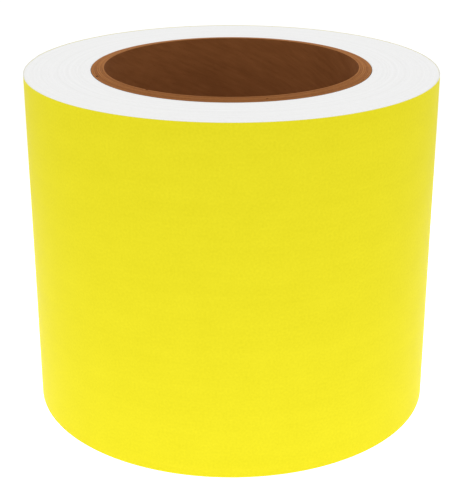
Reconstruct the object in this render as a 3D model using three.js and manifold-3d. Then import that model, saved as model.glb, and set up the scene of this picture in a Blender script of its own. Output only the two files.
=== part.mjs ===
// A roll of sign vinyl, standing on its end: a spiral-wound paperboard core, the web wound round it
// (yellow vinyl film on a white release liner), the free end of the web and the paper tab that closes it.
//
// Units are millimetres. The origin is the centre of the face that the roll stands on, and +Z is the
// roll's own axis. The web winds anticlockwise seen from above. "Winding angle" counts degrees along the
// outermost turn, from 0 where that turn starts to 360 at the web's free end, which lies on that start.

import * as THREE from 'three';
import { mergeVertices } from 'three/addons/utils/BufferGeometryUtils.js';
import Module from 'manifold-3d';

// ---- Driving dimensions ----------------------------------------------------------------------------

// The roll
const WEB_WIDTH = 104; // slit width of the web, and the roll's height when it stands on end
const ROLL_RADIUS = 62; // at the film's outer face, at the free end

// The web's two layers. The adhesive is a coat on the film's back and counts in the film.
const LINER = 0.09;
const FILM = 0.12;
const WEB = LINER + FILM;
const LAYER_GAP = 0.02; // each layer is drawn this much thin, on its inner face, so that layers never touch

// The core: a 3 inch tube of seven paperboard plies, each a strip wound in a helix
const CORE_BORE_RADIUS = 38.1;
const PLY_COUNT = 7;
const PLY = 0.5;
const GLUE_LINE = 0.05; // between one ply and the next
const CORE_RADIUS = CORE_BORE_RADIUS + PLY_COUNT * PLY + (PLY_COUNT - 1) * GLUE_LINE;
const CORE_PROUD = 0.45; // the knife's bevel leaves the bore side of the cut this much proud of the outside
const STRIP_PITCH = 110; // how far a ply's strip climbs in one turn
const SEAM_GAP = 0.9; // between the two edges of a ply's strip, measured round the core
const SEAM_STAGGER = 137.5; // degrees from one ply's seam to the next one's, so that no two seams meet
const FIRST_SEAM_AT = 250; // direction of the bore ply's seam at the base

// The strip of tape that holds the web's inner end to the core
const START_TAPE = 0.1;
const START_TAPE_ARC = 33.75;
const START_TAPE_MARGIN = 3; // short of the web's width at each end
const START_TAPE_AT = 200;
const WEB_BORE_RADIUS = CORE_RADIUS + 0.2;

// The free end: short rigid stretches joined by hinges stand for the bending sheet
const FREE_END_AT = 168; // direction of the web's free end
const TAIL_ARCS = new Array(8).fill(7.5); // film and liner together
const PEEL_ARCS = [3.75, 3.75, 7.5]; // after them, the end of the film, which comes off its liner
const HINGE_GAP = 0.3;

// The paper tab that holds the free end down
const TAB = 0.1;
const TAB_HEIGHT = 44;
const TAB_STUCK_ARC = 7.5; // on the film
const TAB_PULL_ARC = 11.25; // past the free end, on the turn beneath

// Facets
const WEB_FACET = 3.75; // degrees
const CORE_FACETS = 48;
const BLADE_ROWS = 24;

// ---- The spiral ------------------------------------------------------------------------------------

const TURN = 360;
const radians = THREE.MathUtils.degToRad;

// Radius of the web's inner face at a winding angle. One turn adds one thickness of web.
const webInner = (winding) => ROLL_RADIUS - 2 * WEB + (WEB * winding) / TURN;
const webOuter = (winding) => webInner(winding) + WEB;

const linerInner = (winding) => webInner(winding) + LAYER_GAP;
const linerOuter = (winding) => webInner(winding) + LINER;
const filmInner = (winding) => linerOuter(winding) + LAYER_GAP;
const filmOuter = webOuter;

const polar = (radius, degrees) =>
  new THREE.Vector2(radius * Math.cos(radians(degrees)), radius * Math.sin(radians(degrees)));
const direction = (winding) => FREE_END_AT - TURN + winding;

// Degrees of winding that a length along the outermost turn takes.
const arcOf = (length) => THREE.MathUtils.radToDeg(length / ROLL_RADIUS);

// Where a run of stretches begins and ends, and every place where one meets the next.
function meetings(start, arcs) {
  const places = [start];
  for (const arc of arcs) places.push(places.at(-1) + arc);
  return places;
}

// The winding angles where a stretch has its corners: its two ends, and every facet line between them.
function cornersBetween(from, to) {
  const first = Math.floor(from / WEB_FACET) + 1;
  const last = Math.ceil(to / WEB_FACET) - 1;
  const between = Array.from({ length: last - first + 1 }, (_, i) => (first + i) * WEB_FACET);
  return [from, ...between, to];
}

// ---- Solids ----------------------------------------------------------------------------------------

const wasm = await Module();
wasm.setup();

function toManifold(geometry) {
  const bare = geometry.clone();
  bare.deleteAttribute('normal');
  bare.deleteAttribute('uv');
  const merged = mergeVertices(bare);
  const vertProperties = new Float32Array(merged.attributes.position.array);
  const triVerts = new Uint32Array(merged.index.array);
  return new wasm.Manifold(new wasm.Mesh({ numProp: 3, vertProperties, triVerts }));
}

function toGeometry(manifold) {
  const { vertProperties, triVerts } = manifold.getMesh();
  const geometry = new THREE.BufferGeometry();
  geometry.setAttribute('position', new THREE.BufferAttribute(vertProperties, 3));
  geometry.setIndex(new THREE.BufferAttribute(triVerts, 1));
  geometry.computeVertexNormals();
  return geometry;
}

// A shape drawn in plan, raised from one height to another.
function raised(shape, from, to) {
  const geometry = new THREE.ExtrudeGeometry(shape, { depth: to - from, bevelEnabled: false });
  return geometry.translate(0, 0, from);
}

// A stretch of the spiral, between two winding angles and two faces given as functions of that angle.
function stretch(fromWinding, toWinding, inner, outer, fromZ = 0, toZ = WEB_WIDTH) {
  const corners = cornersBetween(fromWinding, toWinding);
  const outside = corners.map((w) => polar(outer(w), direction(w)));
  const inside = corners.map((w) => polar(inner(w), direction(w))).reverse();
  return raised(new THREE.Shape([...outside, ...inside]), fromZ, toZ);
}

function circle(radius, facets, PathType) {
  const corners = Array.from({ length: facets }, (_, i) => polar(radius, (i * TURN) / facets));
  return new PathType(corners);
}

// A thin blade that follows a ply's seam: a tall box, twisted about the core's axis as it climbs.
function seamBlade(radius, seamAt, height) {
  const overshoot = 2;
  const blade = new THREE.BoxGeometry(4 * PLY, SEAM_GAP, height + 2 * overshoot, 1, 1, BLADE_ROWS);
  blade.translate(radius, 0, height / 2);
  const point = new THREE.Vector3();
  const axis = new THREE.Vector3(0, 0, 1);
  const { position } = blade.attributes;
  for (let i = 0; i < position.count; i += 1) {
    point.fromBufferAttribute(position, i);
    point.applyAxisAngle(axis, radians(seamAt) + (2 * Math.PI * point.z) / STRIP_PITCH);
    position.setXYZ(i, point.x, point.y, point.z);
  }
  return blade;
}

// One ply of the core: a tube, slit from end to end along the helical seam of its strip. Towards the
// outside each ply is cut a little shorter at both ends, which gives the core's end its slight cone.
function ply(index) {
  const inner = CORE_BORE_RADIUS + index * (PLY + GLUE_LINE);
  const outline = circle(inner + PLY, CORE_FACETS, THREE.Shape);
  outline.holes.push(circle(inner, CORE_FACETS, THREE.Path));
  const setBack = (CORE_PROUD * index) / (PLY_COUNT - 1);
  const top = WEB_WIDTH + CORE_PROUD - setBack;
  const tube = toManifold(raised(outline, setBack, top));
  const blade = toManifold(seamBlade(inner + PLY / 2, FIRST_SEAM_AT + index * SEAM_STAGGER, top));
  return toGeometry(tube.subtract(blade));
}

// All the turns under the outermost one, wound tight. The outside steps out by one web thickness where
// the web goes on into the outermost turn.
function woundTurns() {
  const corners = cornersBetween(0, TURN);
  const outline = new THREE.Shape(corners.map((w) => polar(webInner(w), direction(w))));
  outline.holes.push(circle(WEB_BORE_RADIUS, TURN / WEB_FACET, THREE.Path));
  return raised(outline, 0, WEB_WIDTH);
}

// ---- Materials -------------------------------------------------------------------------------------

const material = (color, roughness) =>
  new THREE.MeshStandardMaterial({ color, roughness, metalness: 0 });
const kraftBore = material('#60381f', 0.85);
const kraftBoard = material('#9a6539', 0.9);
const vinyl = material('#f0e62b', 0.4);
const releaseLiner = material('#efefee', 0.6);
const tabPaper = material('#f4f3ef', 0.75);

// ---- Assembly --------------------------------------------------------------------------------------

const roll = new THREE.Group();

function add(name, geometry, look, group = roll) {
  const mesh = new THREE.Mesh(geometry, look);
  mesh.name = name;
  group.add(mesh);
}

// The core and what holds the web to it
const core = new THREE.Group();
roll.add(core);
for (let index = 0; index < PLY_COUNT; index += 1) {
  const names = { 0: 'core_bore_ply', [PLY_COUNT - 1]: 'core_outer_ply' };
  const look = index === 0 ? kraftBore : kraftBoard;
  add(names[index] ?? `core_ply_${index + 1}`, ply(index), look, core);
}
const tapeInner = CORE_RADIUS + (WEB_BORE_RADIUS - CORE_RADIUS - START_TAPE) / 2;
const tapeStart = START_TAPE_AT - direction(0);
const startTape = stretch(
  tapeStart,
  tapeStart + START_TAPE_ARC,
  () => tapeInner,
  () => tapeInner + START_TAPE,
  START_TAPE_MARGIN,
  WEB_WIDTH - START_TAPE_MARGIN,
);
add('web_start_tape', startTape, tabPaper, core);

// The wound web and the fixed part of its outermost turn
const web = new THREE.Group();
roll.add(web);
add('wound_web', woundTurns(), releaseLiner, web);

const halfGap = arcOf(HINGE_GAP / 2);
const total = (arcs) => arcs.reduce((sum, arc) => sum + arc, 0);
const peelPlaces = meetings(TURN - total(PEEL_ARCS), PEEL_ARCS);
const tailPlaces = meetings(peelPlaces[0] - total(TAIL_ARCS), TAIL_ARCS);
const fixedFrom = 2 * halfGap;
const fixedTo = tailPlaces[0] - halfGap;
add('outer_turn_liner', stretch(fixedFrom, fixedTo, linerInner, linerOuter), releaseLiner, web);
add('outer_turn_film', stretch(fixedFrom, fixedTo, filmInner, filmOuter), vinyl, web);

// The free end, one stretch after another. The last stretch's liner goes on to the end of the web,
// under the film that peels off it.
const freeEnd = new THREE.Group();
roll.add(freeEnd);
TAIL_ARCS.forEach((_, index) => {
  const from = tailPlaces[index] + halfGap;
  const filmTo = tailPlaces[index + 1] - halfGap;
  const linerTo = index === TAIL_ARCS.length - 1 ? TURN : filmTo;
  add(`tail_liner_${index + 1}`, stretch(from, linerTo, linerInner, linerOuter), releaseLiner, freeEnd);
  add(`tail_film_${index + 1}`, stretch(from, filmTo, filmInner, filmOuter), vinyl, freeEnd);
});
PEEL_ARCS.forEach((_, index) => {
  const isLast = index === PEEL_ARCS.length - 1;
  const from = peelPlaces[index] + halfGap;
  const to = isLast ? TURN : peelPlaces[index + 1] - halfGap;
  const name = isLast ? 'peel_film_end' : `peel_film_${index + 1}`;
  add(name, stretch(from, to, filmInner, filmOuter), vinyl, freeEnd);
});

// The tab: one part stuck on the film, and the part to pull, past the free end
const tabBottom = (WEB_WIDTH - TAB_HEIGHT) / 2;
const tabTop = tabBottom + TAB_HEIGHT;
const tabInner = (winding) => webOuter(winding) + LAYER_GAP;
const tabOuter = (winding) => tabInner(winding) + TAB;
const stuckFrom = TURN - TAB_STUCK_ARC + halfGap;
const tabStuck = stretch(stuckFrom, TURN - halfGap, tabInner, tabOuter, tabBottom, tabTop);
const tabPull = stretch(halfGap, TAB_PULL_ARC, tabInner, tabOuter, tabBottom, tabTop);
add('closure_tab_stuck', tabStuck, tabPaper, freeEnd);
add('closure_tab_pull', tabPull, tabPaper, freeEnd);

export default roll;
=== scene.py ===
# %% [markdown]
# # A roll of sign vinyl
#
# The object is a roll of self-adhesive vinyl, stood on its end. Yellow film lies on a white release
# liner, and the two are wound together, film outwards, on a tube of brown paperboard.
#
# The design model fixes every size and joint. Its solids are faceted, so here each of them gets a smooth
# piece in its place, with the real finish of film, paper and board. Nearly every piece of a roll is the
# same kind of thing: a thin strip that follows a path. A sheet follows the spiral, and a ply of the core
# follows a helix. Solidify and Array modifiers could build them too, but then nobody could say exactly
# where a layer of 0.1 mm lies. So one builder makes them all from arrays of points, and each piece only
# has to say where its two faces lie.

import math

import bmesh
import bpy
import numpy as np
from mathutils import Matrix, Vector


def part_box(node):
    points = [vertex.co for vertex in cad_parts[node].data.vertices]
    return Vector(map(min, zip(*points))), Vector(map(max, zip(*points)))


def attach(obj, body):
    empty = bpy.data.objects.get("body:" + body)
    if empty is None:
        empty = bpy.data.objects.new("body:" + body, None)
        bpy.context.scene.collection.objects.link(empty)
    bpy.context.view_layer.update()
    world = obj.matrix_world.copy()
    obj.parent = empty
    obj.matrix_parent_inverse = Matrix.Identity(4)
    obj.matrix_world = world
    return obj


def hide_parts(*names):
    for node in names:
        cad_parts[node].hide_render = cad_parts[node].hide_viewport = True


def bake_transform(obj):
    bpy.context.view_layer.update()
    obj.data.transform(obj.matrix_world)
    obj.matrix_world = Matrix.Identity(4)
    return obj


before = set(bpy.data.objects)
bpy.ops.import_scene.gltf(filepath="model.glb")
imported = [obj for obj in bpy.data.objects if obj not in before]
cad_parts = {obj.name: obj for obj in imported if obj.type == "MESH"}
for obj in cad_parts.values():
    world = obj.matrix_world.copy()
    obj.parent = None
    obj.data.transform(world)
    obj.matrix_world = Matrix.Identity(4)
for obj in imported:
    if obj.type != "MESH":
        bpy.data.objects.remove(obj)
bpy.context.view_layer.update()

# %% [markdown]
# ## Sizes
#
# These are the sizes of the real roll, in metres. The web is what gets wound: film and liner together.
# The spiral is written as a radius for each *winding angle*. That angle counts degrees along the
# outermost turn, from 0 where the turn starts to 360 at the free end of the web. One turn adds one
# thickness of web, so the radius grows evenly with the angle, and the turn beneath the outermost one has
# angles from -360 to 0.
#
# A spiral is used rather than a stack of rings because the joints need it: the free end has to lie on top
# of the turn beneath, and to part from it when it lifts.

# %% Sizes
MM = 0.001
WEB_WIDTH = 104 * MM
ROLL_RADIUS = 62 * MM
LINER = 0.09 * MM
FILM = 0.12 * MM
WEB = LINER + FILM
SKIN_GAP = 0.01 * MM  # between layers that touch, so that neither face shows through the other
TURN = 360
FREE_END_AT = 168  # direction of the free end, in degrees anticlockwise from +X

CORE_BORE = 38.1 * MM
PLY_COUNT = 7
PLY = 0.5 * MM
GLUE_LINE = 0.05 * MM
CORE_PROUD = 0.45 * MM
CORE_RADIUS = CORE_BORE + PLY_COUNT * PLY + (PLY_COUNT - 1) * GLUE_LINE
WEB_BORE = CORE_RADIUS + 0.16 * MM


def web_inner(winding):
    """Radius of the web's inner face: the outer radius less two webs, plus one web for each turn."""
    return ROLL_RADIUS - 2 * WEB + WEB * winding / TURN


def direction(winding):
    """Direction of a winding angle, in radians anticlockwise from +X."""
    return np.radians(FREE_END_AT + winding)


low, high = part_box("wound_web")
print("web width in the design model:", round((high.z - low.z) / MM, 2), "mm")
print("turns on the core:", round((ROLL_RADIUS - WEB_BORE) / WEB, 1))

# %% [markdown]
# ## Camera
#
# The roll is seen from a little above, from so near that its sides draw together downwards. The lens is
# given a small shift, which slides the view in its frame. Turning the camera would do that too, but it
# would also tilt the roll's sides.

# %% Camera
SENSOR = 36  # mm, the camera's long side
FOCAL_LENGTH = 86.8  # mm
CAMERA_DISTANCE = 376.2 * MM
CAMERA_HEIGHT_ANGLE = math.radians(20.94)
LENS_SHIFT = (0.0022, -0.0387)  # in long sides of the frame

camera = bpy.data.objects.new("camera", bpy.data.cameras.new("camera"))
bpy.context.scene.collection.objects.link(camera)
bpy.context.scene.camera = camera
target = Vector((0, 0, WEB_WIDTH / 2))
towards_camera = Vector((0, -math.cos(CAMERA_HEIGHT_ANGLE), math.sin(CAMERA_HEIGHT_ANGLE)))
camera.location = target + CAMERA_DISTANCE * towards_camera
camera.rotation_euler = towards_camera.to_track_quat("Z", "Y").to_euler()
camera.data.sensor_width = SENSOR
camera.data.lens = FOCAL_LENGTH
camera.data.shift_x, camera.data.shift_y = LENS_SHIFT
camera.data.clip_start = 10 * MM
print("camera at", [round(x / MM) for x in camera.location], "mm")

# %% [markdown]
# ## Building strips
#
# A strip has two faces, each a grid of points. The first index runs along the strip and the second runs
# across it. Joining the two grids round their borders closes the solid, with no cap to design: the
# border faces are the strip's cut edges. `slab` does that for a sheet, for a ply, and for the whole
# wound web, whose two faces are the roll's two ends.

# %% Faces of a strip
def grid_faces(rows, columns, offset, wraps):
    """Quads of a grid of points numbered row by row: each joins two neighbours along and two across."""
    along = np.arange(rows if wraps else rows - 1)[:, None] * columns
    following = ((np.arange(rows if wraps else rows - 1) + 1) % rows)[:, None] * columns
    across = np.arange(columns - 1)[None, :]
    quads = np.stack([along + across, following + across, following + across + 1, along + across + 1], -1)
    return quads.reshape(-1, 4) + offset


def border_faces(front, back):
    """Quads from each step of a front border to the same step of the back border."""
    return np.stack([front[:-1], back[:-1], back[1:], front[1:]], -1)


print("a grid of 4 by 3 points has", len(grid_faces(4, 3, 0, False)), "quads")

# %% [markdown]
# Each point also carries its place on the strip: the distance along it, the distance across it, and
# which face it is on. The materials read that, so a pattern stays on the strip when the strip bends. A
# UV map would hold two of those numbers, and here all three are needed.
#
# Where a strip runs out into a point, several points of the grid fall together there, and welding them
# leaves a clean tip.

# %% The builder
SHARP_ANGLE = math.radians(40)  # cut edges stay crisp, and anything flatter is shaded smooth
WELD_DISTANCE = 0.0005 * MM


def weld(mesh):
    """Merges points in the same place, so that a strip may come to a point."""
    shape = bmesh.new()
    shape.from_mesh(mesh)
    bmesh.ops.remove_doubles(shape, verts=shape.verts, dist=WELD_DISTANCE)
    shape.to_mesh(mesh)
    shape.free()


def slab(name, front, back, place_front, place_back, wraps=False):
    """A closed solid between two grids of points, joined round their borders.
    front[i, k] faces back[i, k]. Seen from outside the front, i runs to the right and k upwards."""
    rows, columns = front.shape[:2]
    count = rows * columns
    number = np.arange(count).reshape(rows, columns)
    if wraps:
        number = np.vstack([number, number[:1]])
    bottom, top = number[:, 0], number[:, -1]
    faces = [
        grid_faces(rows, columns, 0, wraps),
        grid_faces(rows, columns, count, wraps)[:, ::-1],
        border_faces(bottom, bottom + count),
        border_faces(top[::-1], top[::-1] + count),
    ]
    if not wraps:
        start, end = number[0], number[-1]
        faces += [border_faces(start[::-1], start[::-1] + count), border_faces(end, end + count)]
    is_cut = np.repeat([0, 1], [2 * len(faces[0]), sum(map(len, faces[2:]))])
    faces = np.vstack(faces)
    points = np.vstack([front.reshape(-1, 3), back.reshape(-1, 3)])
    mesh = bpy.data.meshes.new(name)
    mesh.from_pydata(points.tolist(), [], faces.tolist())
    cut = mesh.attributes.new("is_cut", "INT", "FACE")
    cut.data.foreach_set("value", is_cut)
    place = mesh.attributes.new("strip_place", "FLOAT_VECTOR", "POINT")
    placed = np.vstack([place_front.reshape(-1, 3), place_back.reshape(-1, 3)])
    place.data.foreach_set("vector", placed.astype(np.float32).ravel())
    weld(mesh)
    mesh.shade_smooth()
    mesh.set_sharp_from_angle(angle=SHARP_ANGLE)
    piece = bpy.data.objects.new(name, mesh)
    bpy.context.scene.collection.objects.link(piece)
    return piece


# %% [markdown]
# Three small helpers go with the builder. One turns a radius, an angle and a height into points, because
# everything on a roll is easiest to say that way. One writes down the places. The last gives a piece its
# finishes, and hides the solids of the design model that it stands for.

# %% Points, places and dress
def dress(piece, nodes, finish, cut_finish=None):
    """Gives the faces one finish and the cut edges another, and hides the solids of the design model that
    the piece stands for.
    """
    piece.data.materials.append(finish)
    if cut_finish is not None:
        piece.data.materials.append(cut_finish)
        is_cut = np.zeros(len(piece.data.polygons), dtype=np.int32)
        piece.data.attributes["is_cut"].data.foreach_get("value", is_cut)
        piece.data.polygons.foreach_set("material_index", is_cut)
    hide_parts(*nodes)
    print(piece.name, len(piece.data.polygons), "faces")


def around(radius, angle, height):
    """Points at a radius, an angle and a height: x = r cos a, y = r sin a, z = h."""
    radius, angle, height = np.broadcast_arrays(radius, angle, height)
    return np.stack([radius * np.cos(angle), radius * np.sin(angle), height], -1)


def places(along, across, side):
    """The place attribute of a face: metres along the strip, metres across it, and the side's number."""
    along, across = np.broadcast_arrays(along, across)
    return np.stack([along, across, np.full(along.shape, float(side))], -1)


print("a point at the free end:", (around(ROLL_RADIUS, direction(TURN), 0) / MM).round(1).tolist(), "mm")

# %% [markdown]
# ## Finishes
#
# A finish is a small graph of nodes. One function adds a node, sets it up and wires it, so that each
# finish below reads as a list of what it is made of. Colours are written as sRGB hex, the way a colour
# card gives them, and turned linear once. The size of every pattern is written in millimetres.

# %% Helpers for finishes
BLEND_COLOURS = {"data_type": "RGBA"}
BLEND_NUMBERS = {"data_type": "FLOAT"}
PLACE = {"attribute_name": "strip_place"}


def colour(hex_code):
    """An sRGB hex colour as linear red, green, blue and alpha."""
    channels = np.array([int(hex_code[i : i + 2], 16) for i in (1, 3, 5)]) / 255
    linear = np.where(channels <= 0.04045, channels / 12.92, ((channels + 0.055) / 1.055) ** 2.4)
    return (*linear.tolist(), 1.0)


def repeats(size):
    """How often a pattern with features of this size, in mm, repeats in a metre."""
    return 1 / (size * MM)


def finish_named(name):
    """A new material, with its tree of nodes and its principled shader."""
    material = bpy.data.materials.new(name)
    material.use_nodes = True
    return material, material.node_tree, material.node_tree.nodes["Principled BSDF"]


def node(tree, kind, settings=None, **inputs):
    """Adds a node. Settings are its own options. Inputs are values or other nodes' outputs, by socket name
    with _ for a space, or by number as in_0."""
    made = tree.nodes.new(kind)
    for option, value in (settings or {}).items():
        setattr(made, option, value)
    for key, value in inputs.items():
        socket = made.inputs[int(key[3:])] if key.startswith("in_") else made.inputs[key.replace("_", " ")]
        if isinstance(value, bpy.types.NodeSocket):
            tree.links.new(value, socket)
        else:
            socket.default_value = value
    return made


print("middle grey is", round(colour("#808080")[0], 3), "linear")

# %% [markdown]
# ### The film
#
# Sign vinyl is PVC, rolled into a film between hot polished cylinders (calendered). That leaves a satin
# face with a faint pebble, long soft streaks in the direction that the web ran, and hardly any change of
# colour. The back carries clear adhesive: it shows the same yellow, wetter and smoother.
#
# The pebble could be modelled, but on a whole roll that takes millions of faces. Noise as a bump gives the
# same soft break-up of light, and the same noise, laid over streaks and clouds, shifts the colour a little.
# The real pebble is about 0.2 mm across. It is drawn 0.7 mm wide, because nothing finer would show.

# %% Film
STREAK_LENGTH = 110
STREAK_WIDTH = 3.3
FILM_CLOUD = 8.3
PEBBLE = 0.7
FACE_ROUGHNESS = (0.40, 0.50)
ADHESIVE_ROUGHNESS = 0.14


def calendered_vinyl():
    """Tone: streaks and clouds once each and the pebble 2.5 times, which runs from about 1.25 to 3.25.
    The adhesive's share is the third number of the place: 0 on the face and 1 on the back."""
    material, tree, shader = finish_named("calendered_vinyl_yellow")
    place = node(tree, "ShaderNodeAttribute", PLACE).outputs["Vector"]
    streaked = node(
        tree, "ShaderNodeMapping", in_0=place, Scale=(repeats(STREAK_LENGTH), repeats(STREAK_WIDTH), 1)
    )
    streaks = node(tree, "ShaderNodeTexNoise", Vector=streaked.outputs[0], Scale=1.0, Detail=3.0)
    clouds = node(tree, "ShaderNodeTexNoise", Vector=place, Scale=repeats(FILM_CLOUD), Detail=2.0)
    pebble = node(tree, "ShaderNodeTexNoise", Vector=place, Scale=repeats(PEBBLE), Detail=1.0)
    soft = node(
        tree, "ShaderNodeMath", {"operation": "ADD"}, in_0=streaks.outputs[0], in_1=clouds.outputs[0]
    )
    tone = node(
        tree, "ShaderNodeMath", {"operation": "MULTIPLY_ADD"},
        in_0=pebble.outputs[0], in_1=2.5, in_2=soft.outputs[0],
    )
    spread = node(tree, "ShaderNodeMapRange", Value=tone.outputs[0], in_1=1.25, in_2=3.25)
    yellow = node(
        tree, "ShaderNodeMix", BLEND_COLOURS,
        Factor=spread.outputs[0], in_6=colour("#d2c81e"), in_7=colour("#dcd225"),
    )
    tree.links.new(yellow.outputs[2], shader.inputs["Base Color"])
    adhesive = node(tree, "ShaderNodeSeparateXYZ", in_0=place).outputs[2]
    face = node(
        tree, "ShaderNodeMapRange",
        Value=streaks.outputs[0], in_3=FACE_ROUGHNESS[0], in_4=FACE_ROUGHNESS[1],
    )
    rough = node(
        tree, "ShaderNodeMix", BLEND_NUMBERS, Factor=adhesive, in_2=face.outputs[0], in_3=ADHESIVE_ROUGHNESS
    )
    tree.links.new(rough.outputs[0], shader.inputs["Roughness"])
    shader.inputs["IOR"].default_value = 1.53
    shader.inputs["Specular IOR Level"].default_value = 0.015
    long_waves = node(tree, "ShaderNodeBump", Height=streaks.outputs[0], Distance=0.004 * MM)
    bumps = node(
        tree, "ShaderNodeBump", Height=pebble.outputs[0], Distance=0.003 * MM, Normal=long_waves.outputs[0]
    )
    tree.links.new(bumps.outputs[0], shader.inputs["Normal"])
    return material


film_finish = calendered_vinyl()
print(film_finish.name, len(film_finish.node_tree.nodes), "nodes")

# %% [markdown]
# A knife slits the film to width. PVC goes pale where it is cut, and so the edges of yellow film look
# nearly as white as the liner's. That is why the end of the roll is one white ring. The knife drags the
# cut into short marks, about 1 mm apart along the edge. A second finish on the cut faces alone is simpler
# than one finish that works out where it is, and `slab` has already marked those faces.

# %% Slit edge of the film
DRAG_LENGTH = 1.1
DRAG_WIDTH = 11


def slit_vinyl():
    """Tone: one noise, which also gives the marks their depth."""
    material, tree, shader = finish_named("slit_vinyl_edge")
    place = node(tree, "ShaderNodeAttribute", PLACE).outputs["Vector"]
    dragged = node(
        tree, "ShaderNodeMapping", in_0=place, Scale=(repeats(DRAG_LENGTH), repeats(DRAG_WIDTH), 1)
    )
    drag = node(tree, "ShaderNodeTexNoise", Vector=dragged.outputs[0], Scale=1.0, Detail=2.0)
    pale = node(
        tree, "ShaderNodeMix", BLEND_COLOURS,
        Factor=drag.outputs[0], in_6=colour("#e4e3da"), in_7=colour("#f2f1ea"),
    )
    tree.links.new(pale.outputs[2], shader.inputs["Base Color"])
    shader.inputs["Roughness"].default_value = 0.7
    shader.inputs["Specular IOR Level"].default_value = 0.2
    marks = node(tree, "ShaderNodeBump", Height=drag.outputs[0], Distance=0.004 * MM)
    tree.links.new(marks.outputs[0], shader.inputs["Normal"])
    return material


film_cut_finish = slit_vinyl()
print(film_cut_finish.name, len(film_cut_finish.node_tree.nodes), "nodes")

# %% [markdown]
# ### The release liner
#
# The liner is a dense white paper, coated with silicone so that the adhesive lets go of it. The coat
# makes it smooth and slightly shiny, and the paper's own cloudiness shows through as soft mottling of
# about 4 mm. That mottling is all that tells paper from plastic here, so it gets the more care, with four
# octaves of noise. The grain is drawn 0.7 mm long, coarser than the fibres' real 0.03 mm, so that it shows.

# %% Liner
MOTTLE = 3.8
GRAIN_LENGTH = 0.7
GRAIN_WIDTH = 0.27


def siliconised_paper():
    """Tone: the mottling alone. Depth: the mottling as cockles, and the grain as a much finer tooth."""
    material, tree, shader = finish_named("siliconised_liner_paper")
    place = node(tree, "ShaderNodeAttribute", PLACE).outputs["Vector"]
    grained = node(
        tree, "ShaderNodeMapping", in_0=place, Scale=(repeats(GRAIN_LENGTH), repeats(GRAIN_WIDTH), 1)
    )
    clouds = node(tree, "ShaderNodeTexNoise", Vector=place, Scale=repeats(MOTTLE), Detail=4.0)
    grain = node(tree, "ShaderNodeTexNoise", Vector=grained.outputs[0], Scale=1.0, Detail=2.0)
    white = node(
        tree, "ShaderNodeMix", BLEND_COLOURS,
        Factor=clouds.outputs[0], in_6=colour("#d8d7d2"), in_7=colour("#e0dfda"),
    )
    tree.links.new(white.outputs[2], shader.inputs["Base Color"])
    shader.inputs["Roughness"].default_value = 0.42
    shader.inputs["IOR"].default_value = 1.45
    cockles = node(tree, "ShaderNodeBump", Height=clouds.outputs[0], Distance=0.004 * MM)
    tooth = node(
        tree, "ShaderNodeBump", Height=grain.outputs[0], Distance=0.0015 * MM, Normal=cockles.outputs[0]
    )
    tree.links.new(tooth.outputs[0], shader.inputs["Normal"])
    return material


liner_finish = siliconised_paper()
print(liner_finish.name, len(liner_finish.node_tree.nodes), "nodes")

# %% [markdown]
# ### The roll's end
#
# The end of the roll is the cut edge of the web, turn upon turn. Each turn is only 0.21 mm thick, too fine
# to show, so a drawn line stands for two turns. Each line is painted darker in its groove: that tone is
# painted shade between the turns, and the grooves are also bumped in. The lines follow the spiral: going
# once round moves a line outwards by one step of the pattern, so the pattern has no seam. A ring texture
# would be shorter to write, but its circles would cross the spiral. The bands of a few lines and the specks
# are the edges' own tone. The specks are torn fibres and paper dust.

# %% Slit edges of the web
TURNS_PER_LINE = 2
BANDS_PER_LINE = 0.45
SPECK = 0.7


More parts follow.
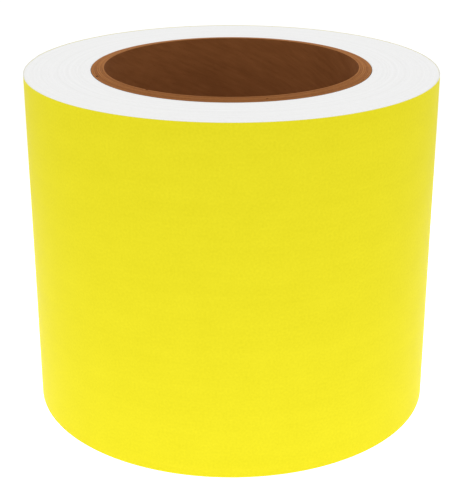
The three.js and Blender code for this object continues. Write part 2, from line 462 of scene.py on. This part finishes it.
def slit_edges():
    """Tone: a line for every two turns, darker in its groove as painted shade between the turns, then bands
    of a few lines and specks as the edges' own tone. A line is a triangle wave of radius / pitch - angle /
    full turn."""
    material, tree, shader = finish_named("slit_web_edges_white")
    point = node(tree, "ShaderNodeTexCoord").outputs["Object"]
    flat = node(tree, "ShaderNodeVectorMath", {"operation": "MULTIPLY"}, in_0=point, in_1=(1, 1, 0))
    radius = node(tree, "ShaderNodeVectorMath", {"operation": "LENGTH"}, in_0=flat.outputs[0])
    parts = node(tree, "ShaderNodeSeparateXYZ", in_0=point).outputs
    angle = node(tree, "ShaderNodeMath", {"operation": "ARCTAN2"}, in_0=parts[1], in_1=parts[0])
    rings = node(
        tree, "ShaderNodeMath", {"operation": "DIVIDE"},
        in_0=radius.outputs["Value"], in_1=TURNS_PER_LINE * WEB,
    )
    spiral = node(
        tree, "ShaderNodeMath", {"operation": "MULTIPLY_ADD"},
        in_0=angle.outputs[0], in_1=-1 / math.tau, in_2=rings.outputs[0],
    )
    line = node(tree, "ShaderNodeMath", {"operation": "PINGPONG"}, in_0=spiral.outputs[0], in_1=0.5)
    bands = node(
        tree, "ShaderNodeTexNoise", {"noise_dimensions": "1D"},
        W=rings.outputs[0], Scale=BANDS_PER_LINE, Detail=4.0,
    )
    specks = node(tree, "ShaderNodeTexNoise", Vector=point, Scale=repeats(SPECK), Detail=3.0)
    # the line's tone is painted shade: darker in the groove between turns, where the ridges' bump below dips
    groove_shade_and_bands = node(
        tree, "ShaderNodeMath", {"operation": "MULTIPLY_ADD"},
        in_0=line.outputs[0], in_1=0.7, in_2=bands.outputs[0],
    )
    speckled = node(
        tree, "ShaderNodeMath", {"operation": "MULTIPLY_ADD"},
        in_0=specks.outputs[0], in_1=0.5, in_2=groove_shade_and_bands.outputs[0],
    )
    spread = node(tree, "ShaderNodeMapRange", Value=speckled.outputs[0], in_1=0.5, in_2=1.4)
    white = node(
        tree, "ShaderNodeMix", BLEND_COLOURS,
        Factor=spread.outputs[0], in_6=colour("#ebebea"), in_7=colour("#f6f6f6"),
    )
    tree.links.new(white.outputs[2], shader.inputs["Base Color"])
    shader.inputs["Roughness"].default_value = 0.75
    shader.inputs["Specular IOR Level"].default_value = 0.3
    ridges = node(tree, "ShaderNodeBump", Height=line.outputs[0], Distance=0.04 * MM)
    dust = node(
        tree, "ShaderNodeBump", Height=specks.outputs[0], Distance=0.01 * MM, Normal=ridges.outputs[0]
    )
    tree.links.new(dust.outputs[0], shader.inputs["Normal"])
    return material


edge_finish = slit_edges()
print(edge_finish.name, len(edge_finish.node_tree.nodes), "nodes")

# %% [markdown]
# ### Paperboard
#
# The core is kraft board, rolled from brown strips glued on top of each other. Its fibres lie mostly
# along the strip, which runs round the tube at a slant. The place attribute gives the direction along
# the strip, so long fibres are noise stretched that way. The faces are darker, pressed and slightly
# dusty. The saw that cuts the tube to length leaves a lighter, furry edge, on which each ply keeps a
# tone of its own.
#
# Real fibres are 0.03 mm wide. They are drawn 0.9 mm wide and 7 mm long, as bundles, so that they show.
# One function makes both finishes, because they are the same board and differ only in colour and depth.

# %% Board
FIBRE_LENGTH = 6.7
FIBRE_WIDTH = 0.9
FLECK_LENGTH = 3.8
FLECK_WIDTH = 1.1
BOARD_CLOUD_LENGTH = 17
BOARD_CLOUD_WIDTH = 9
SIDE_STEP = 0.5  # how much the third number of the place grows from a ply's outer face to its inner one
FIBRES_PER_PLY = 4.5  # layers of fibre bundles in the thickness of one ply
FLECKS_PER_PLY = 2.5


def kraft_board(name, dark, light, fibre_depth, ply_contrast):
    """Kraft board between two browns, with fibres along the strip, flecks that stand for shives, and a
    tone for each ply: white noise of the ply's number, which the place attribute carries."""
    material, tree, shader = finish_named(name)
    place = node(tree, "ShaderNodeAttribute", PLACE).outputs["Vector"]
    layer = node(tree, "ShaderNodeSeparateXYZ", in_0=place).outputs[2]
    number = node(tree, "ShaderNodeMath", {"operation": "FLOOR"}, in_0=layer)
    own = node(tree, "ShaderNodeTexWhiteNoise", {"noise_dimensions": "1D"}, W=number.outputs[0])
    drawn = node(
        tree, "ShaderNodeMapping",
        in_0=place, Scale=(repeats(FIBRE_LENGTH), repeats(FIBRE_WIDTH), FIBRES_PER_PLY / SIDE_STEP),
    )
    fibres = node(tree, "ShaderNodeTexNoise", Vector=drawn.outputs[0], Scale=1.0, Detail=5.0, Roughness=0.65)
    cloudy = node(
        tree, "ShaderNodeMapping",
        in_0=place, Scale=(repeats(BOARD_CLOUD_LENGTH), repeats(BOARD_CLOUD_WIDTH), 1),
    )
    clouds = node(tree, "ShaderNodeTexNoise", Vector=cloudy.outputs[0], Scale=1.0, Detail=3.0)
    scattered = node(
        tree, "ShaderNodeMapping",
        in_0=place, Scale=(repeats(FLECK_LENGTH), repeats(FLECK_WIDTH), FLECKS_PER_PLY / SIDE_STEP),
    )
    flecks = node(tree, "ShaderNodeTexVoronoi", Vector=scattered.outputs[0], Scale=1.0)
    mottled = node(
        tree, "ShaderNodeMath", {"operation": "MULTIPLY_ADD"},
        in_0=clouds.outputs[0], in_1=0.6, in_2=fibres.outputs[0],
    )
    toned = node(
        tree, "ShaderNodeMath", {"operation": "MULTIPLY_ADD"},
        in_0=own.outputs[0], in_1=ply_contrast, in_2=mottled.outputs[0],
    )
    spread = node(
        tree, "ShaderNodeMapRange",
        Value=toned.outputs[0], in_1=0.5 + ply_contrast / 2, in_2=1.1 + ply_contrast / 2,
    )
    brown = node(
        tree, "ShaderNodeMix", BLEND_COLOURS,
        Factor=spread.outputs[0], in_6=colour(dark), in_7=colour(light),
    )
    beside_fleck = node(tree, "ShaderNodeMapRange", Value=flecks.outputs["Distance"], in_1=0.05, in_2=0.14)
    flecked = node(
        tree, "ShaderNodeMix", BLEND_COLOURS,
        Factor=beside_fleck.outputs[0], in_6=colour(dark), in_7=brown.outputs[2],
    )
    tree.links.new(flecked.outputs[2], shader.inputs["Base Color"])
    shader.inputs["Roughness"].default_value = 0.88
    shader.inputs["Specular IOR Level"].default_value = 0.1
    fur = node(tree, "ShaderNodeBump", Height=fibres.outputs[0], Distance=fibre_depth)
    waves = node(tree, "ShaderNodeBump", Height=clouds.outputs[0], Distance=0.03 * MM, Normal=fur.outputs[0])
    tree.links.new(waves.outputs[0], shader.inputs["Normal"])
    print(material.name, len(tree.nodes), "nodes")
    return material


board_face_finish = kraft_board("kraft_board_face", "#784722", "#8f5a31", 0.02 * MM, 0.1)
board_cut_finish = kraft_board("kraft_board_sawn_edge", "#925a2e", "#ad723d", 0.05 * MM, 0.35)

# %% [markdown]
# ### Small papers
#
# The closing tab is plain uncoated paper, and the tape that starts the web is brown paper tape. Both are
# matt, with a fine tooth. It is drawn 0.4 mm wide, coarser than real paper fibres, so that it shows. A
# paper without a coat scatters light so well that tone and tooth are all it needs.

# %% Papers
TOOTH = 0.42
PAPER_CLOUD = 3.0


def uncoated_paper(name, dark, light):
    """Matt paper between two tones, cloudy over a few millimetres, with a fine tooth."""
    material, tree, shader = finish_named(name)
    place = node(tree, "ShaderNodeAttribute", PLACE).outputs["Vector"]
    tooth = node(tree, "ShaderNodeTexNoise", Vector=place, Scale=repeats(TOOTH), Detail=3.0)
    clouds = node(tree, "ShaderNodeTexNoise", Vector=place, Scale=repeats(PAPER_CLOUD), Detail=3.0)
    paper = node(
        tree, "ShaderNodeMix", BLEND_COLOURS, Factor=clouds.outputs[0], in_6=colour(dark), in_7=colour(light)
    )
    tree.links.new(paper.outputs[2], shader.inputs["Base Color"])
    shader.inputs["Roughness"].default_value = 0.8
    shader.inputs["Specular IOR Level"].default_value = 0.3
    fine = node(tree, "ShaderNodeBump", Height=tooth.outputs[0], Distance=0.006 * MM)
    slow = node(tree, "ShaderNodeBump", Height=clouds.outputs[0], Distance=0.01 * MM, Normal=fine.outputs[0])
    tree.links.new(slow.outputs[0], shader.inputs["Normal"])
    print(material.name, len(tree.nodes), "nodes")
    return material


tab_finish = uncoated_paper("uncoated_tab_paper", "#d7d5cd", "#dfddd5")
tape_finish = uncoated_paper("kraft_tape_paper", "#c7a877", "#d6ba8c")

# %% [markdown]
# ## The core
#
# Each ply is a strip of board, about 100 mm wide, wound into a tube so that its two edges almost meet.
# The line where they meet climbs the tube as a helix. On an unrolled tube a ply is a slanted band, cut
# off square by the two ends of the tube. So at each angle the ply runs from the band's lower edge or the
# tube's bottom, whichever is higher, to the band's upper edge or the tube's top, whichever is lower.
#
# The corners of that shape fall at four angles: where each edge of the band crosses an end of the tube.
# The columns of the grid are placed so that one stands at each of them, and the corners stay sharp. Seven
# plain rings would look the same from outside, but the seam in the bore is what shows that the tube was
# wound.

# %% Plies
STRIP_PITCH = 110 * MM  # how far the seam climbs in one turn
SEAM_GAP = 0.35 * MM  # between the strip's edges, measured up the tube
SEAM_STAGGER = 137.5  # degrees from one ply's seam to the next, so that no two seams lie together
FIRST_SEAM_AT = 250  # degrees anticlockwise from +X, at the tube's foot
SEAM_LIP = 0.06 * MM  # how far the knife pulls the strip's edge away from the bore
LIP_WIDTH = 0.5 * MM
PLY_STEP = math.radians(2.5)  # between columns of the grid
PLY_ROWS = 26


def steps_between(corners, step):
    """Angles from the first corner to the last, in even steps, with one on every corner."""
    runs = [
        np.linspace(a, b, max(2, math.ceil((b - a) / step) + 1))[:-1]
        for a, b in zip(corners, corners[1:])
        if b - a > step / 10
    ]
    return np.append(np.concatenate(runs), corners[-1])


def rows_across(count):
    """Fractions from 0 to 1 across a strip, closer together towards both edges: half of 1 - cos."""
    return (1 - np.cos(np.linspace(0, math.pi, count))) / 2


def ply(name, index):
    """One helical strip. Its lower edge is at pitch x angle / turn, its upper edge a pitch higher less the
    gap, and both are held between the ends of the tube. Towards the outside plies are cut shorter."""
    inner = CORE_BORE + index * (PLY + GLUE_LINE)
    set_back = CORE_PROUD * index / (PLY_COUNT - 1)
    bottom, top = set_back, WEB_WIDTH + CORE_PROUD - set_back
    climb = STRIP_PITCH / math.tau
    corners = [(bottom - STRIP_PITCH + SEAM_GAP) / climb, (top - STRIP_PITCH + SEAM_GAP) / climb]
    corners += [bottom / climb, top / climb]
    angle = steps_between(sorted(corners), PLY_STEP)[:, None]
    lower = np.maximum(climb * angle, bottom)
    upper = np.minimum(climb * angle + STRIP_PITCH - SEAM_GAP, top)
    height = lower + (upper - lower) * rows_across(PLY_ROWS)[None, :]
    to_edge = np.minimum(height - climb * angle, climb * angle + STRIP_PITCH - SEAM_GAP - height)
    lip = SEAM_LIP * np.exp(-to_edge / LIP_WIDTH)
    turned = angle + math.radians(FIRST_SEAM_AT + index * SEAM_STAGGER)
    slant = math.atan2(climb, inner)
    along = inner * angle * math.cos(slant) + height * math.sin(slant)
    across = height * math.cos(slant) - inner * angle * math.sin(slant)
    return slab(
        name,
        around(inner + PLY, turned, height),
        around(inner + lip, turned, height),
        places(along, across, index),
        places(along, across, index + SIDE_STEP),
    )


ply_nodes = ["core_bore_ply", *(f"core_ply_{i}" for i in range(2, PLY_COUNT)), "core_outer_ply"]
for index, ply_node in enumerate(ply_nodes):
    board = ply(ply_node.replace("core_", "board_"), index)
    dress(board, [ply_node], board_face_finish, board_cut_finish)
    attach(board, "roll")

# %% [markdown]
# A strip of brown paper tape holds the web's inner end to the core. It lies under the first turn, where
# only a cut through the roll would show it, so it is a plain rectangle bent round the tube.

# %% Tape
TAPE = 0.1 * MM
TAPE_AT = 200  # degrees anticlockwise from +X
TAPE_ARC = 33.75  # degrees
TAPE_COLUMNS = 24
TAPE_ROWS = 12


def start_tape():
    """A rectangle of tape on the core: one radius for each face, with even steps along it and across it."""
    lowest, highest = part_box("web_start_tape")
    angle = np.radians(TAPE_AT + np.linspace(0, TAPE_ARC, TAPE_COLUMNS))[:, None]
    height = np.linspace(lowest.z, highest.z, TAPE_ROWS)[None, :]
    along = CORE_RADIUS * angle
    return slab(
        "start_tape",
        around(CORE_RADIUS + TAPE, angle, height),
        around(CORE_RADIUS + SKIN_GAP, angle, height),
        places(along, height, 0),
        places(along, height, 1),
    )


tape = start_tape()
dress(tape, ["web_start_tape"], tape_finish)
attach(tape, "roll")

# %% [markdown]
# ## The wound web
#
# Some ninety turns lie under the outermost one. Nobody can see them apart except at the roll's ends,
# where their edges make the white ring, so they are one solid whose two faces are those rings. A wound
# end is never quite flat. Runs of turns stand a few hundredths of a millimetre proud or deep, because
# the web wandered a little as it was wound. That height depends on how much web had gone on, so it
# depends on the radius and is the same all the way round.

# %% Turns
RING_ROWS = 150
TURNS_STEP = 1.5
RUN_OF_TURNS = 0.34 * MM
WANDER = 0.035 * MM
SLOW_WANDER = 0.06 * MM
STEP_RAMP = 0.3  # degrees in which the outline steps back by one web, under the free end
random = np.random.default_rng(31)


def wander(depth, knot_count, amount, reach):
    """A random height for each depth: seeded values at even knots, joined by straight lines."""
    knots = random.uniform(-1, 1, knot_count)
    return amount * np.interp(depth, np.linspace(0, reach, knot_count), knots)


def wound_turns():
    """Both ends of the roll: radius from the outline down to the bore, height plus or minus the wander."""
    winding = np.append(np.arange(0, TURN - TURNS_STEP / 2, TURNS_STEP), TURN - STEP_RAMP)
    outline = web_inner(winding)[:, None] - FILM - SKIN_GAP
    inward = np.linspace(0, 1, RING_ROWS)[None, :]
    radius = outline + (WEB_BORE - outline) * inward
    angle = direction(winding)[:, None]
    reach = ROLL_RADIUS - WEB_BORE
    knots = round(reach / RUN_OF_TURNS)
    depth = ROLL_RADIUS - radius
    top = wander(depth, knots, WANDER, reach) + wander(depth, knots // 5, SLOW_WANDER, reach)
    foot = wander(depth, knots, WANDER, reach) + wander(depth, knots // 5, SLOW_WANDER, reach)
    return slab(
        "web_turns",
        around(radius, angle, WEB_WIDTH + top - top.max()),
        around(radius, angle, foot - foot.min()),
        places(radius * angle, radius, 0),
        places(radius * angle, radius, 1),
        wraps=True,
    )


turns = wound_turns()
dress(turns, ["wound_web"], edge_finish)
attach(turns, "roll")

# %% [markdown]
# ## Sheets on the spiral
#
# Film and liner are strips that follow the spiral between two winding angles. Film is not equally thick
# across its width, and wound turn upon turn the difference adds up to soft bands round the roll. The
# bands only ever draw the surface in, so the roll keeps its size. They are real geometry rather than a
# bump, because every layer that lies on another has to dip with it.

# %% Sheets
SHEET_STEP = 0.75  # degrees
SHEET_ROWS = 27
BAND_DEPTH = 0.03 * MM
BAND_WAVES = [(1.7, 1.0, 0.4), (4.3, 0.6, 2.1), (9.1, 0.3, 0.0)]  # waves in the width, strength, phase


def bands(height):
    """How far the surface lies in at each height: three slow waves of unlike lengths, never outwards."""
    turned = math.tau * height / WEB_WIDTH
    waves = sum(strength * np.sin(count * turned + phase) for count, strength, phase in BAND_WAVES)
    most = sum(strength for count, strength, phase in BAND_WAVES)
    return BAND_DEPTH * (waves - most) / (2 * most)


def sheet(name, winding, rise, thickness, bottom=None, top=None):
    """A strip of the spiral: its inner face lies at the web's inner radius plus rise, its outer face one
    thickness further out, and both follow the bands. It is as high as the web unless told otherwise."""
    winding = np.asarray(winding)[:, None]
    bottom = np.zeros_like(winding) if bottom is None else np.asarray(bottom)[:, None]
    top = np.full_like(winding, WEB_WIDTH) if top is None else np.asarray(top)[:, None]
    height = bottom + (top - bottom) * np.linspace(0, 1, SHEET_ROWS)[None, :]
    radius = web_inner(winding) + rise + bands(height)
    along = ROLL_RADIUS * np.radians(winding)
    angle = direction(winding)
    return slab(
        name,
        around(radius + thickness, angle, height),
        around(radius, angle, height),
        places(along, height, 0),
        places(along, height, 1),
    )


def run(start, end, step=SHEET_STEP):
    """Winding angles from start to end in even steps."""
    return np.linspace(start, end, max(2, math.ceil((end - start) / step) + 1))


def liner_strip(name, start, end):
    """The liner between two winding angles, on the inside of the web."""
    return sheet(name, run(start, end), SKIN_GAP, LINER - SKIN_GAP)


def film_strip(name, start, end, step=SHEET_STEP):
    """The film between two winding angles, outside the liner."""
    return sheet(name, run(start, end, step), LINER + SKIN_GAP, FILM - SKIN_GAP)


# %% [markdown]
# ## The outermost turn and the free end
#
# The film of the outermost turn goes on under itself for one more turn, so that lifting the free end
# shows yellow film below, as on the real roll. The liner starts where the outermost turn does.
#
# In the design model the free end bends at a chain of hinges. Here the pieces are cut for it but not bent,
# and each lies on the spiral. A sheet has no hinges, so each piece of sheet reaches from the middle of one
# stretch to the middle of the next, where a bend would turn it smoothly. The pieces meet where both would be
# still, so that the bend would look like one sheet. Only where the film starts to peel does the bend begin
# close to its hinge, because what lies before a hinge dips a little and must not show through.

# %% Free end
TAIL_STRETCH = 7.5  # degrees from one hinge to the next
TAIL_HINGES = [285 + TAIL_STRETCH * i for i in range(8)]
PEEL_STRETCH = 3.75
PEEL_STEP = PEEL_STRETCH / 12
PEEL_HINGES = [345 + PEEL_STRETCH * i for i in range(3)]
PEEL_LEAD = 0.9  # degrees that the first bend of the peeling film starts before its hinge
SHRINKAGE = 0.4  # degrees: PVC shrinks a little with age, and a hair of liner shows past its end


def on_sheet(winding):
    """The point of the web at a winding angle, halfway up, where a bend starts or ends."""
    point = around(web_inner(winding) + WEB / 2, direction(winding), WEB_WIDTH / 2)
    return tuple(point.tolist())


def bend_limits(hinges, stretch, lead):
    """Where the bend at each hinge starts and ends: half a stretch to either side, and for the first
    hinge the lead before it."""
    starts = [hinges[0] - lead, *(hinge - stretch / 2 for hinge in hinges[1:])]
    return list(zip(starts, [hinge + stretch / 2 for hinge in hinges]))


tail_bends = bend_limits(TAIL_HINGES, TAIL_STRETCH, TAIL_STRETCH / 2)
peel_bends = bend_limits(PEEL_HINGES, PEEL_STRETCH, PEEL_LEAD)
tail_start = tail_bends[0][0]
peel_start = peel_bends[0][0]

turn_liner = liner_strip("turn_liner", 0, tail_start)
turn_film = film_strip("turn_film", -TURN, tail_start)
dress(turn_liner, ["outer_turn_liner"], liner_finish)
dress(turn_film, ["outer_turn_film"], film_finish, film_cut_finish)
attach(turn_liner, "roll")
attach(turn_film, "roll")

for i, (start, end) in enumerate(tail_bends):
    last = i == len(tail_bends) - 1
    liner_to = TURN if last else tail_bends[i + 1][0]
    film_to = peel_start if last else tail_bends[i + 1][0]
    number = i + 1
    liner = liner_strip(f"free_liner_{number}", start, liner_to)
    film = film_strip(f"free_film_{number}", start, film_to)
    dress(liner, [f"tail_liner_{number}"], liner_finish)
    dress(film, [f"tail_film_{number}"], film_finish, film_cut_finish)
    for piece in (liner, film):
        on_sheet(start)
        on_sheet(end)
        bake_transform(piece)

peel_nodes = ["peel_film_1", "peel_film_2", "peel_film_end"]
for i, (start, end) in enumerate(peel_bends):
    film_to = TURN - SHRINKAGE if i == len(peel_bends) - 1 else peel_bends[i + 1][0]
    film = film_strip(f"peeling_film_{i + 1}", start, film_to, step=PEEL_STEP)
    dress(film, [peel_nodes[i]], film_finish, film_cut_finish)
    on_sheet(start)
    on_sheet(end)
    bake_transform(film)

# %% [markdown]
# ## The closing tab
#
# A plain paper tab holds the free end down. One part is stuck on the film, and the other reaches past the
# end onto the turn beneath, where a thumb can lift it. Its four corners are rounded. A bevel could round
# them, but here a sheet of changing height does it without another tool. Where the strip comes near its
# end, its height follows a circle: half height = straight part + sqrt(r^2 - (r - d)^2),
# with d the distance to the end. Just past the end of the web, the paper steps down by one web, and a
# smooth step of 3 t^2 - 2 t^3 carries it down.

# %% Tab
TAB = 0.1 * MM
TAB_HEIGHT = 44 * MM
TAB_STUCK_ARC = 7.5
TAB_PULL_ARC = 11.25
TAB_CORNER = 4 * MM
TAB_CREASE = 2.5  # degrees over which the pull part would bend up. Only on_sheet reads it, and its point is not used
TAB_STEP = 1.5  # degrees over which the paper comes down onto the turn beneath
TAB_GAP = 0.01  # degrees between the two parts of the tab
TAB_SHORT = 0.3  # degrees by which the stuck part ends before its arc does
TAB_COLUMNS = 80


def tab_part(name, hinge, end, drop):
    """Half of the tab, from its crease at the hinge angle to its rounded end. It starts one drop higher
    than it goes on."""
    length = abs(end - hinge) * math.radians(1) * ROLL_RADIUS
    share = np.sin(np.linspace(0, math.pi / 2, TAB_COLUMNS))
    to_end = length * (1 - share)
    inside = np.clip(TAB_CORNER - to_end, 0, TAB_CORNER)
    half = TAB_HEIGHT / 2 - TAB_CORNER + np.sqrt(TAB_CORNER**2 - inside**2)
    winding = hinge + (end - hinge) * share
    order = np.argsort(winding)
    winding, half = winding[order], half[order]
    done = np.clip(np.abs(winding - hinge) / TAB_STEP, 0, 1)
    rise = WEB + SKIN_GAP + drop * (1 - done**2 * (3 - 2 * done))
    return sheet(name, winding, rise[:, None], TAB, WEB_WIDTH / 2 - half, WEB_WIDTH / 2 + half)


stuck = tab_part("tab_paper_stuck", TURN, TURN - TAB_STUCK_ARC + TAB_SHORT, 0)
pull = tab_part("tab_paper_pull", TAB_GAP, TAB_PULL_ARC, WEB)
dress(stuck, ["closure_tab_stuck"], tab_finish)
dress(pull, ["closure_tab_pull"], tab_finish)
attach(stuck, "film_end")
on_sheet(0)
on_sheet(TAB_CREASE)
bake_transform(pull)

# %% [markdown]
# ## Floor and light
#
# The roll stands on a light table: a matt white sheet with lamps below it. It glows a little, most of all
# in the middle, so it lights the lower part of the roll from below and leaves no shadow. The rest of the
# light is a plain white dome. Lamps and softboxes could do the same, but they would leave bright stripes
# on the film, and here the light is even all round.

# %% Floor and light
FLOOR_SIZE = 12
FLOOR_LEVEL = -0.01 * MM
GLOW_CENTRE = 1.0
GLOW_RIM = 0.16
GLOW_STARTS_TO_FADE = 130 * MM
GLOW_HAS_FADED = 325 * MM
DOME = 1.0

floor_mesh = bpy.data.meshes.new("light_table")
half_floor = FLOOR_SIZE / 2
floor_mesh.from_pydata(
    [(x * half_floor, y * half_floor, FLOOR_LEVEL) for x, y in ((-1, -1), (1, -1), (1, 1), (-1, 1))],
    [],
    [(0, 1, 2, 3)],
)
floor = bpy.data.objects.new("light_table", floor_mesh)
bpy.context.scene.collection.objects.link(floor)


def light_table():
    """White acrylic, whose glow falls smoothly from the centre's value to the rim's, by the distance."""
    material, tree, shader = finish_named("white_acrylic_light_table")
    point = node(tree, "ShaderNodeTexCoord").outputs["Object"]
    radius = node(tree, "ShaderNodeVectorMath", {"operation": "LENGTH"}, in_0=point).outputs["Value"]
    glow = node(
        tree, "ShaderNodeMapRange", {"interpolation_type": "SMOOTHSTEP"},
        Value=radius, in_1=GLOW_STARTS_TO_FADE, in_2=GLOW_HAS_FADED, in_3=GLOW_CENTRE, in_4=GLOW_RIM,
    )
    shader.inputs["Base Color"].default_value = colour("#f2f2f2")
    shader.inputs["Roughness"].default_value = 0.9
    shader.inputs["Specular IOR Level"].default_value = 0.1
    shader.inputs["Emission Color"].default_value = (1, 1, 1, 1)
    tree.links.new(glow.outputs[0], shader.inputs["Emission Strength"])
    return material


floor_mesh.materials.append(light_table())

world = bpy.data.worlds.new("white_dome")
world.use_nodes = True
background = world.node_tree.nodes["Background"]
background.inputs["Color"].default_value = (1, 1, 1, 1)
background.inputs["Strength"].default_value = DOME
bpy.context.scene.world = world
bpy.context.scene.view_settings.view_transform = "Standard"
print("light table of", FLOOR_SIZE, "m, glow", GLOW_CENTRE, "to", GLOW_RIM, "and dome", DOME)
